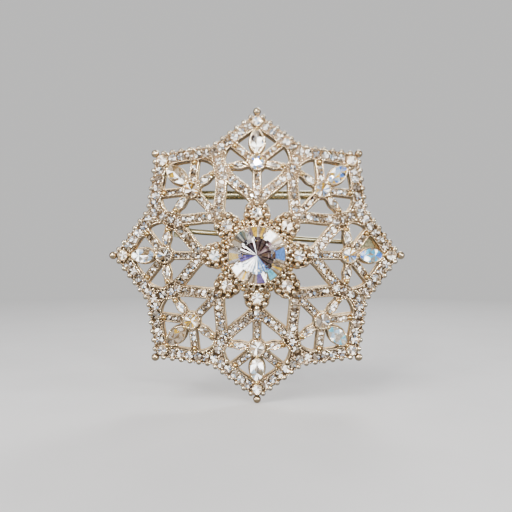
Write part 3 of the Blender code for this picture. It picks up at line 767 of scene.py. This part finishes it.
def set_arms(sector):
    """The stones of the stem, the strut's first stone and the stones of the arms."""
    arm = [p for p in turned_to_valley(bezier(ARM_ROUTE)) if p.length > ARM_STONES_FROM]
    arm = [p for p in arm if abs(math.atan2(p.y, p.x) - VALLEY) * p.length > ARMS_JOIN]
    for reach in STEM_STONES_AT:
        sector.put(STEM_STONE, *polar(reach, VALLEY).xy)
    sector.put(FIRST_STRUT_STONE, STRUT_FROM, 0)
    arm_row(sector, arm, ARM_PITCH, 0.55 * MM)


def set_snowflake(sector):
    """The strut along the point's radius, and the two branches beside it."""
    for i in range(5):
        reach = STRUT_FROM + STRUT_PITCH * (i + 1)
        sector.put(STRUT_STONE, reach, 0)
        sector.put(STRUT_BEAD, reach - 0.45 * MM, 0.42 * MM)
    away = polar(1, STRUT_ANGLE).xy
    aside = Vector((-away.y, away.x)) * 0.44 * MM
    center = Vector((POINT_STONE.circle, 0))
    for i in range(3):
        sector.put(BRANCH_STONE, *(center + away * (BRANCH_FROM + BRANCH_PITCH * i)))
    sector.put(BRANCH_END, *(center + away * BRANCH_REACH))
    for i in range(4):
        for side in (-1, 1):
            reach = BRANCH_FROM - 0.4 * MM + BRANCH_PITCH * i
            sector.put(STRUT_BEAD, *(center + away * reach + aside * side))


def scatter_beads(sector):
    for _ in range(LOOSE_TRIES):
        radius = DICE.uniform(9.0 * MM, TIP_RADIUS)
        angle = DICE.uniform(0, VALLEY)
        x, y = radius * math.cos(angle), radius * math.sin(angle)
        if edge_distance(x, y) > 0.1 * MM:
            sector.put(LOOSE_BEAD, x, y)


SECTOR_LAYOUT = Sector()
for fill in (keep_settings, set_rim, set_arms, set_snowflake, scatter_beads):
    fill(SECTOR_LAYOUT)
PAVE_GROUPS = {"rim_stone": "pave_rim", "arm_stone": "pave_arms", "strut_stone": "pave_struts"}


def circle(place, radius, steps):
    return np.array([(place.x + radius * math.cos(a), place.y + radius * math.sin(a))
                     for a in (math.tau * i / steps for i in range(steps))])


def placed(outline, place, turn):
    cos, sin = math.cos(turn), math.sin(turn)
    return outline @ np.array([[cos, sin], [-sin, cos]]) + np.array((place.x, place.y))


def gem_openings(share):
    """The openings under the larger stones, at this share of each stone's size."""
    rounds = ((POINT_STONE.circle, POINT_STONE.width), (TIP_STONE.circle, TIP_STONE.width),
              (FLOWER_STONE.circle, FLOWER_STONE.width))
    marquise = pointed_oval(MARQUISE.length * share, MARQUISE.width * share, 10)
    leaf = pointed_oval(LEAF_LENGTH * share, LEAF_WIDTH * share, 8)
    made = []
    for i in range(POINTS):
        turn = i * SECTOR
        made += [circle(polar(reach, turn), width / 2 * share, 20) for reach, width in rounds]
        made.append(placed(marquise, polar(MARQUISE.circle, turn), turn))
        for side in (1, -1):
            place = Matrix.Rotation(turn, 2) @ Vector((LEAF_PLACE.x, side * LEAF_PLACE.y))
            made.append(placed(leaf, place, turn + side * LEAF_TURN))
    return made


def build_plates():
    stones = [pair for group in PAVE_GROUPS for pair in SECTOR_LAYOUT.whole(group)]
    pockets = [circle(place, radius * 0.95, 14) for place, radius in stones]
    drilled = [circle(place, radius * 0.5, 10) for place, radius in stones]
    outlines = [pushed(SMOOTH[0], -0.3 * MM)] + SMOOTH[1:]
    front = flat_plate(outlines + pockets + gem_openings(0.93), BASE_LEVEL, FLOOR)
    # The plate's floor between the stones takes the painted-shade ground.
    finish_piece(front, "frame_plate", [PAINTED_SHADE_GROUND], stands_for=("star_frame",))
    back = flat_plate(outlines + drilled + gem_openings(0.6), 0, BASE_LEVEL - 0.01 * MM)
    finish_piece(back, "frame_back", [BACK_PLATE])


def build_lips():
    front, back = [], []
    for loop in SMOOTH:
        inner = area(loop) > 0
        under_center = float(np.abs(loop).max()) < CENTER_STONE.width / 2
        line = pushed(loop, -0.1 * MM if inner else -0.3 * MM)
        if not under_center:
            front.append(([(x, y, FLOOR if inner else BASE_LEVEL) for x, y in line], 0.13 * MM))
        line = pushed(loop, 0.01 * MM if inner else -0.28 * MM)
        back.append(([(x, y, 0.16 * MM) for x, y in line], 0.15 * MM))
    for name, wires, look in (("front_edges", front, PLATE), ("back_edges", back, BACK_PLATE)):
        parts = [(tube(points, radius, True, 6), Matrix()) for points, radius in wires]
        finish_piece(joined(parts), name, [look])


# -------- stones and beads


# What a stone's facets may take, and how often: mixes of the painted glints, painted dark facets and
# painted fire of the foils above
QUIET = "wwwwWWggooodwi"
BRIGHT = "wwwWWgoi"
PALE_BLUE = "iibwWwwyg"
SEA_BLUE = "iabwWaw"
WARM = "wywWgoow"
LOOKS = list(FOILS)


def stones_piece(name, cuts, glass=CLEAR, stands_for=()):
    """One piece of many stones. Each facet at the back of a stone takes one of that stone's foils, whose
    colours and glow are the stone's painted glints, reflections and fire.
    """
    made = []
    for mesh, matrix, sparkle_mix in cuts:
        copy = mesh.copy()
        for face in copy.polygons:
            if face.material_index:
                face.material_index = 1 + LOOKS.index(DICE.choice(sparkle_mix))
        made.append((copy, matrix))
    piece = joined(made)
    for copy, _ in made:
        bpy.data.meshes.remove(copy)
    finish_piece(piece, name, [glass, *FOILS.values()], stands_for)


def build_pave():
    cut = single_cut(1.0)
    fine = brilliant(1.0)
    for group, name in PAVE_GROUPS.items():
        cuts = []
        for place, radius in SECTOR_LAYOUT.whole(group):
            spot = Vector((place.x, place.y, FLOOR + 0.02 * MM))
            mesh = fine if radius > 0.55 * MM else cut
            turn = DICE.uniform(0, math.tau)
            tilt = math.radians(DICE.uniform(0, 5))
            cuts.append((mesh, at(spot, turn, tilt, 2 * radius), QUIET))
        stones_piece(name, cuts)


def build_beads():
    small, large = ball(1.0), ball(1.0, True)
    for group, name, look, mesh, level in (
        ("bead", "grain_beads", GRAIN, small, FLOOR + 0.08 * MM),
        ("rim_bead", "rim_beads", GRAIN, large, FLOOR - 0.02 * MM),
        ("gold_bead", "strut_beads", BRIGHT_GOLD, large, FLOOR + 0.1 * MM),
    ):
        parts = [
            (mesh, at(Vector((place.x, place.y, level)), DICE.uniform(0, 6), 0, radius))
            for place, radius in SECTOR_LAYOUT.whole(group)
        ]
        finish_piece(joined(parts), name, [look])


def repeated(name, mesh, places, look):
    """One piece of the same mesh at each place of every sector."""
    parts = [(mesh, at(place, turn)) for place, turn in all_round(places)]
    finish_piece(joined(parts), name, [look])


def collets(name, stone, outer, low, top):
    """Round each of these stones, a waisted wall with a rounded rim."""
    bore = stone.width / 2 * 0.97
    wall = outer - bore
    rise = top - low
    profile = [(outer * 0.94, low), (outer * 0.9, low + rise * 0.3), (outer, low + rise * 0.75),
               (outer - wall * 0.2, top), (bore + wall * 0.2, top), (bore, top - wall * 0.3),
               (bore * 0.9, low + rise * 0.4), (bore * 0.86, low)]
    repeated(name, turned(profile, 32), [(polar(stone.circle, 0), 0)], PLATE)


def claws_round(name, stone, reach, count, bead, level, offset=0.0):
    """Rounded claw ends at this reach round each of these stones."""
    middle = Vector((stone.circle, 0, level))
    places = [(middle + polar(reach, offset + math.tau * i / count), 0) for i in range(count)]
    repeated(name, ball(bead), places, GRAIN)


def numbered(stem, count=POINTS):
    return tuple(f"{stem}_{i + 1}" for i in range(count))


def set_brilliants(stem, stone, turns, palette, glass=CLEAR):
    """The round stones of one kind, one a sector, each with its own turn and mix of foils."""
    gem = brilliant(stone.width)
    cuts = []
    for i in range(POINTS):
        cuts.append((gem, at(polar(stone.circle, i * SECTOR, stone.level), turns[i]), palette[i]))
    stones_piece(f"{stem}_gems", cuts, glass, numbered(f"{stem}_stone"))


def build_points():
    top = POINT_STONE.level + 0.12 * MM
    reach = POINT_STONE.width / 2 + 0.06 * MM
    collets("point_collets", POINT_STONE, COLLET_RADIUS, FLOOR - 0.1 * MM, top)
    claws_round("point_claws", POINT_STONE, reach, 9, 0.24 * MM, top + 0.06 * MM, math.pi / 9)
    turns = [i * SECTOR + DICE.uniform(0, 0.7) for i in range(POINTS)]
    palette = (PALE_BLUE, PALE_BLUE, PALE_BLUE, WARM, QUIET, WARM, QUIET, BRIGHT)
    set_brilliants("point", POINT_STONE, turns, palette, AURORA)


def build_tips():
    top = TIP_STONE.level + 0.08 * MM
    reach = TIP_STONE.width / 2 + 0.06 * MM
    collets("tip_collets", TIP_STONE, TIP_COLLET_RADIUS, FLOOR - 0.1 * MM, top)
    claws_round("tip_claws", TIP_STONE, reach, 6, 0.17 * MM, top + 0.04 * MM)
    turns = [DICE.uniform(0, 1) for _ in range(POINTS)]
    set_brilliants("tip", TIP_STONE, turns, [BRIGHT] * POINTS)
    spot = Vector((REACH - 0.65 * MM, 0, 1.5 * MM))
    repeated("tip_balls", ball(0.68 * MM, True), [(spot, 0)], PLATE)


def pointed_bezel(length, width, low, high):
    outer = pointed_oval(length + 2 * BEZEL_WALL, width + 2 * BEZEL_WALL, 14)
    inner = pointed_oval(length - 0.06 * MM, width - 0.06 * MM, 14)
    wall = flat_plate([outer, inner], low, high)
    middle = pointed_oval(length + BEZEL_WALL, width + BEZEL_WALL, 14)
    lip = tube([(x, y, high) for x, y in middle], BEZEL_WALL * 0.5, True, 8)
    return joined([(wall, Matrix()), (lip, Matrix())])


def build_marquises():
    spot = Vector((MARQUISE.circle, 0, 0))
    bezel = pointed_bezel(MARQUISE.length, MARQUISE.width, 0.9 * MM, MARQUISE.level + 0.02 * MM)
    repeated("marquise_bezels", bezel, [(spot, 0)], PLATE)
    reach = MARQUISE.length / 2 + 0.12 * MM
    tips = [(spot + Vector((side * reach, 0, MARQUISE.level + 0.16 * MM)), 0) for side in (-1, 1)]
    repeated("marquise_claws", ball(0.36 * MM, True), tips, BRIGHT_GOLD)
    gem = marquise_cut(MARQUISE.length, MARQUISE.width)
    palette = (SEA_BLUE, PALE_BLUE, QUIET, WARM, BRIGHT, WARM, BRIGHT, SEA_BLUE)
    cuts = [
        (gem, at(polar(MARQUISE.circle, i * SECTOR, MARQUISE.level), i * SECTOR), pick)
        for i, pick in enumerate(palette)
    ]
    stones_piece("marquise_gems", cuts, AURORA, numbered("marquise"))


def build_leaves():
    level = 1.95 * MM
    bezel = pointed_bezel(LEAF_LENGTH, LEAF_WIDTH, 0.9 * MM, level + 0.02 * MM)
    sides = [(Vector((LEAF_PLACE.x, side * LEAF_PLACE.y, 0)), side * LEAF_TURN) for side in (1, -1)]
    repeated("leaf_bezels", bezel, sides, PLATE)
    outward = LEAF_PLACE + LEAF_AWAY.normalized() * (LEAF_LENGTH / 2 + 0.25 * MM)
    ends = [(Vector((outward.x, side * outward.y, level + 0.1 * MM)), 0) for side in (1, -1)]
    repeated("leaf_claws", ball(0.40 * MM, True), ends, BRIGHT_GOLD)
    gem = marquise_cut(LEAF_LENGTH, LEAF_WIDTH)
    cuts = []
    for i in range(POINTS):
        for side in (1, -1):
            spot = Vector((LEAF_PLACE.x, side * LEAF_PLACE.y, level))
            place = Matrix.Rotation(i * SECTOR, 4, "Z") @ spot
            cuts.append((gem, at(place, side * LEAF_TURN + i * SECTOR), QUIET))
    stones_piece("leaf_gems", cuts, CLEAR, numbered("leaf_stone", 2 * POINTS))


def build_flowers():
    top = FLOWER_STONE.level + 0.06 * MM
    radius = FLOWER_STONE.width / 2
    disc = [(1.78 * MM, FLOOR - 0.1 * MM), (1.78 * MM, FLOOR + 0.1 * MM), (1.66 * MM, FLOOR + 0.2 * MM),
            (0.8 * MM, FLOOR + 0.2 * MM), (0.8 * MM, FLOOR - 0.1 * MM)]
    # The flower's ground plate is painted shade, nearly black metal round the petals.
    repeated("flower_plates", turned(disc, 40), [(polar(FLOWER_STONE.circle, 0), 0)], PAINTED_SHADE_GROUND)
    collets("flower_seats", FLOWER_STONE, radius + 0.22 * MM, FLOOR + 0.1 * MM, top)
    claws_round("flower_petals", FLOWER_STONE, 1.74 * MM, 7, 0.52 * MM, FLOOR + 0.40 * MM)
    claws_round("flower_claws", FLOWER_STONE, radius + 0.3 * MM, 7, 0.31 * MM, top + 0.02 * MM, math.pi / 7)
    turns = [DICE.uniform(0, 1) for _ in range(POINTS)]
    set_brilliants("flower", FLOWER_STONE, turns, [BRIGHT] * POINTS)


NARROW_RING = 0.52
CENTER_RADIUS = CENTER_STONE.width / 2


def grand_cut(r):
    """The centre stone: a brilliant whose pavilion ends in a ring of narrow facets round its point."""
    corners = table_and_star(r) + ring(r, 0, 64) + ring(r, -GIRDLE * r, 64)
    corners += ring(NARROW_RING * r, -GIRDLE * r - PAVILION * r * 0.54, 64)
    return hull(corners + bottom_point(r))


# The foils of the centre stone's pavilion, anticlockwise from the right: round its point, and beyond. They
# are painted light laid out by direction: painted glints, painted dark reflections and painted fire.
INNER_PAINTED_SPARKLE = "mgmdmgmm mdmgmdmg mdWmdmmd mWmdWmwd vmvvwWiW WwWiWiiW ibiibibm mdgmgdmg"
OUTER_PAINTED_SPARKLE = "bbbogwow WWWWoyow yyogwogw gowwgowy yywoWWWW owywgwow vvvWoaaa owygowbb"


def paint_sparkle_on_backs(mesh, reach):
    """Gives each of the centre stone's pavilion facets the foil of its direction, which paints the stone's
    glints, reflections and fire where they fall.
    """
    for face in mesh.polygons:
        if face.material_index:
            sparkle_mix = (INNER_PAINTED_SPARKLE if face.center.xy.length < reach else OUTER_PAINTED_SPARKLE).replace(" ", "")
            share = math.atan2(face.center.y, face.center.x) % math.tau / math.tau
            face.material_index = 1 + LOOKS.index(sparkle_mix[int(share * len(sparkle_mix))])


def build_center():
    gem = grand_cut(CENTER_RADIUS)
    paint_sparkle_on_backs(gem, 0.45 * CENTER_RADIUS)
    gem.transform(Matrix.Translation((0, 0, CENTER_STONE.level)))
    finish_piece(gem, "center_gem", [AURORA, *FOILS.values()], ("center_stone",))


def build_cup():
    radius, girdle = CENTER_RADIUS, CENTER_STONE.level
    profile = [
        (radius - 0.55 * MM, FLOOR - 0.5 * MM), (radius - 0.2 * MM, FLOOR - 0.2 * MM),
        (radius + 0.22 * MM, FLOOR + 0.7 * MM), (radius + 0.3 * MM, girdle - 0.9 * MM),
        (radius + 0.34 * MM, girdle - 0.35 * MM), (radius + 0.24 * MM, girdle - 0.2 * MM),
        (radius + 0.04 * MM, girdle - 0.25 * MM), (radius - 0.1 * MM, girdle - 0.7 * MM),
        (radius - 0.5 * MM, FLOOR + 0.6 * MM), (radius - 2.2 * MM, FLOOR - 0.5 * MM),
    ]
    finish_piece(turned(profile, 96), "cup_wall", [PLATE], stands_for=("center_cup",))
    rows = ((36, 0.34, 0.25, girdle - 0.3 * MM), (32, 0.62, 0.32, FLOOR + 0.95 * MM),
            (40, 0.98, 0.30, FLOOR + 0.3 * MM))
    grains = []
    for count, reach, bead, level in rows:
        mesh = ball(bead * MM)
        for i in range(count):
            place = polar(radius + reach * MM, math.tau * (i + 0.5) / count, level)
            grains.append((mesh, at(place, DICE.uniform(0, 6))))
    finish_piece(joined(grains), "cup_grains", [GRAIN])


def build_center_claws():
    radius, girdle = CENTER_RADIUS, CENTER_STONE.level
    route = [
        (radius + 0.05 * MM, FLOOR - 0.3 * MM), (radius + 0.4 * MM, FLOOR + 0.6 * MM),
        (radius + 0.44 * MM, girdle - 0.5 * MM), (radius + 0.36 * MM, girdle + 0.05 * MM),
        (radius + 0.08 * MM, girdle + 0.34 * MM), (radius - 0.3 * MM, girdle + 0.52 * MM),
    ]
    claw = tube([(r, 0, z) for r, z in route], 0.3 * MM, False, 10, (1.25, 1.15, 1.05, 1.0, 0.95, 0.85))
    end = ball(0.27 * MM, True)
    parts = []
    for i in range(POINTS):
        turn = Matrix.Rotation(VALLEY + i * SECTOR, 4, "Z")
        parts.append((claw, turn))
        parts.append((end, turn @ Matrix.Translation((route[-1][0], 0, route[-1][1]))))
    finish_piece(joined(parts), "center_claws", [PLATE])
    spot = polar(6.2 * MM, VALLEY, FLOOR + 0.2 * MM)
    repeated("hub_beads", ball(0.46 * MM, True), [(spot, 0)], BRIGHT_GOLD)


# -------- hardware on the back


def soften(shape, width):
    """Joins the node's faces up and rounds its sharp edges."""
    weld = shape.modifiers.new("weld", "WELD")
    weld.merge_threshold = 1e-6
    bevel = shape.modifiers.new("bevel", "BEVEL")
    bevel.width = width
    bevel.segments = 2
    bevel.angle_limit = math.radians(40)
    bevel.harden_normals = True


def dress_hardware():
    for name, look in (("pin_joint", FITTING), ("hinge_rivet", BRIGHT_GOLD),
                       ("catch_base", FITTING), ("catch_roller", BRIGHT_GOLD)):
        shape = frame["nodes"][name]
        shape.data.materials.clear()
        shape.data.materials.append(look)
        soften(shape, 0.05 * MM)


def joint_place(name):
    return Vector(next(joint["pos_m"] for joint in frame["joints"] if joint["name"] == name))


def eased_tube(bore, radius, half, edge):
    """A tube round Z, of this half length, with its outer edges eased."""
    profile = [(bore, -half), (radius - edge, -half), (radius, -half + edge), (radius, half - edge),
               (radius - edge, half), (bore, half)]
    mesh = turned(profile, 40)
    mesh.set_sharp_from_angle(angle=math.radians(30))
    return mesh


def build_stem():
    """The pin: a knuckle on the hinge's rivet, and a wire drawn to a point past the catch."""
    start, end = joint_place("stem_hinge"), joint_place("catch_turn")
    ahead = (end - start).normalized()
    reach = (end - start).length + 1.5 * MM
    across = ahead.cross(Vector((0, 1, 0)))
    knuckle = eased_tube(0.39 * MM, 0.84 * MM, 0.64 * MM, 0.08 * MM)
    knuckle.transform(Matrix.Translation(start) @ across.to_track_quat("Z", "Y").to_matrix().to_4x4())
    stops = (0.025, 0.05, 0.45, 0.7, 0.82, 0.9, 0.96, 0.985, 1.0)
    widths = (1.25, 1.0, 1.0, 0.94, 0.84, 0.68, 0.42, 0.25, 0.12)
    rod = tube([start + ahead * reach * stop for stop in stops], 0.5 * MM, False, 24, widths)
    pin = joined([(knuckle, Matrix()), (rod, Matrix())])
    finish_piece(pin, "pin", [WIRE], ("pin_stem",), "stem", False)


def build_tube():
    low, high = face_box("bail_tube")
    middle = (low + high) / 2
    radius = (high.z - low.z) / 2
    mesh = eased_tube(radius * 0.56, radius, (high.x - low.x) / 2, 0.12 * MM)
    mesh.transform(Matrix.Translation(middle) @ Matrix.Rotation(math.pi / 2, 4, "Y"))
    finish_piece(mesh, "bail", [FITTING], ("bail_tube",))


# -------- studio


PALE = (0.70, 0.695, 0.69)


def camera_ray(tree):
    return tree.nodes.new("ShaderNodeLightPath").outputs["Is Camera Ray"]


def world_light():
    """A pale plain surround to look at, and a dimmer one, brighter overhead, to be lit by."""
    world = bpy.data.worlds.new("studio")
    bpy.context.scene.world = world
    world.use_nodes = True
    tree = world.node_tree
    lit = tree.nodes["Background"]
    place = tree.nodes.new("ShaderNodeTexCoord").outputs["Generated"]
    height = node(tree, "ShaderNodeSeparateXYZ", Vector=place).outputs["Z"]
    ramp = node(tree, "ShaderNodeValToRGB", Fac=remap(tree, height, span=(-1.0, 1.0)))
    dim, bright = ramp.color_ramp.elements
    dim.position = 0.45
    dim.color = (0.025, 0.025, 0.03, 1)
    bright.position = 0.95
    bright.color = (0.42, 0.42, 0.45, 1)
    feed(lit, "Color", ramp.outputs["Color"])
    seen = node(tree, "ShaderNodeBackground", Color=(*PALE, 1))
    mix = node(tree, "ShaderNodeMixShader", Fac=camera_ray(tree))
    feed(mix, 1, lit.outputs["Background"])
    feed(mix, 2, seen.outputs["Background"])
    feed(tree.nodes["World Output"], "Surface", mix.outputs["Shader"])


def lamp(name, place, size, power, colour=(1, 1, 1)):
    """A round lamp that points at the origin, the middle of the brooch."""
    light = bpy.data.lights.new(name, "AREA")
    light.shape = "DISK"
    light.size = size
    light.energy = power
    light.color = colour
    shape = add_object(name, light)
    shape.location = place
    shape.rotation_euler = (-Vector(place)).to_track_quat("-Z", "Y").to_euler()


def pale_floor():
    """A pale matt floor, dimmer to light than to look at, that fades into the surround."""
    level = -REACH - 0.05 * MM
    bpy.ops.mesh.primitive_circle_add(vertices=96, radius=3.0, fill_type="NGON", location=(0, 0, level))
    floor = bpy.context.object
    floor.name = "floor"
    made, tree, shader = start_material("pale_floor")
    tone = blend_colours(tree, remap(tree, noise(tree, 60.0, 4.0)), (0.66, 0.655, 0.65), PALE)
    seen = camera_ray(tree)
    tint = node(tree, "ShaderNodeVectorMath", operation="MULTIPLY")
    feed(tint, 0, tone)
    feed(tint, 1, blend_colours(tree, seen, (0.25, 0.25, 0.25), (1.0, 1.0, 1.0)))
    feed(shader, "Base Color", tint.outputs["Vector"])
    feed(shader, "Roughness", 0.85)
    feed(shader, "Emission Color", (*PALE, 1))
    feed(shader, "Emission Strength", remap(tree, seen, 0.0, 0.15, (0.0, 1.0)))
    length = node(tree, "ShaderNodeVectorMath", operation="LENGTH")
    feed(length, 0, object_place(tree))
    fade = node(tree, "ShaderNodeMath", operation="MULTIPLY")
    feed(fade, 0, remap(tree, length.outputs["Value"], span=(0.05, 0.26)))
    feed(fade, 1, seen)
    glow = node(tree, "ShaderNodeEmission", Color=(*PALE, 1))
    mix = node(tree, "ShaderNodeMixShader", Fac=fade.outputs["Value"])
    feed(mix, 1, shader.outputs["BSDF"])
    feed(mix, 2, glow.outputs["Emission"])
    feed(tree.nodes["Material Output"], "Surface", mix.outputs["Shader"])
    floor.data.materials.append(made)


def lamps():
    lamp("key", (-0.16, -0.30, 0.34), 0.26, 1.6, (1.0, 0.97, 0.93))
    lamp("front", (0.05, -0.45, 0.14), 0.14, 0.35)
    lamp("fill", (0.35, -0.25, 0.10), 0.22, 0.55, (0.95, 0.97, 1.0))
    lamp("wash", (-0.38, -0.20, 0.06), 0.22, 0.55, (1.0, 0.97, 0.94))
    lamp("back", (0.10, 0.35, 0.30), 0.20, 1.2)
    for i in range(7):
        turn = math.radians(-66 + 22 * i)
        height = 0.02 + 0.20 * ((i * 3) % 7) / 7
        place = (0.42 * math.sin(turn), -0.42 * math.cos(turn), height)
        lamp(f"spark_{i + 1}", place, 0.022, 0.45)


def camera():
    lens = bpy.data.cameras.new("camera")
    lens.lens = 40.0
    lens.clip_start = 0.001
    shape = add_object("camera", lens)
    shape.location = (-0.17 * MM, -99.3 * MM, -0.1 * MM)
    shape.rotation_euler = (math.pi / 2, 0, 0)
    bpy.context.scene.camera = shape


build_plates()
build_lips()
build_pave()
build_beads()
build_points()
build_tips()
build_marquises()
build_leaves()
build_flowers()
build_center()
build_cup()
build_center_claws()
build_tube()
build_stem()
dress_hardware()
world_light()
pale_floor()
lamps()
camera()
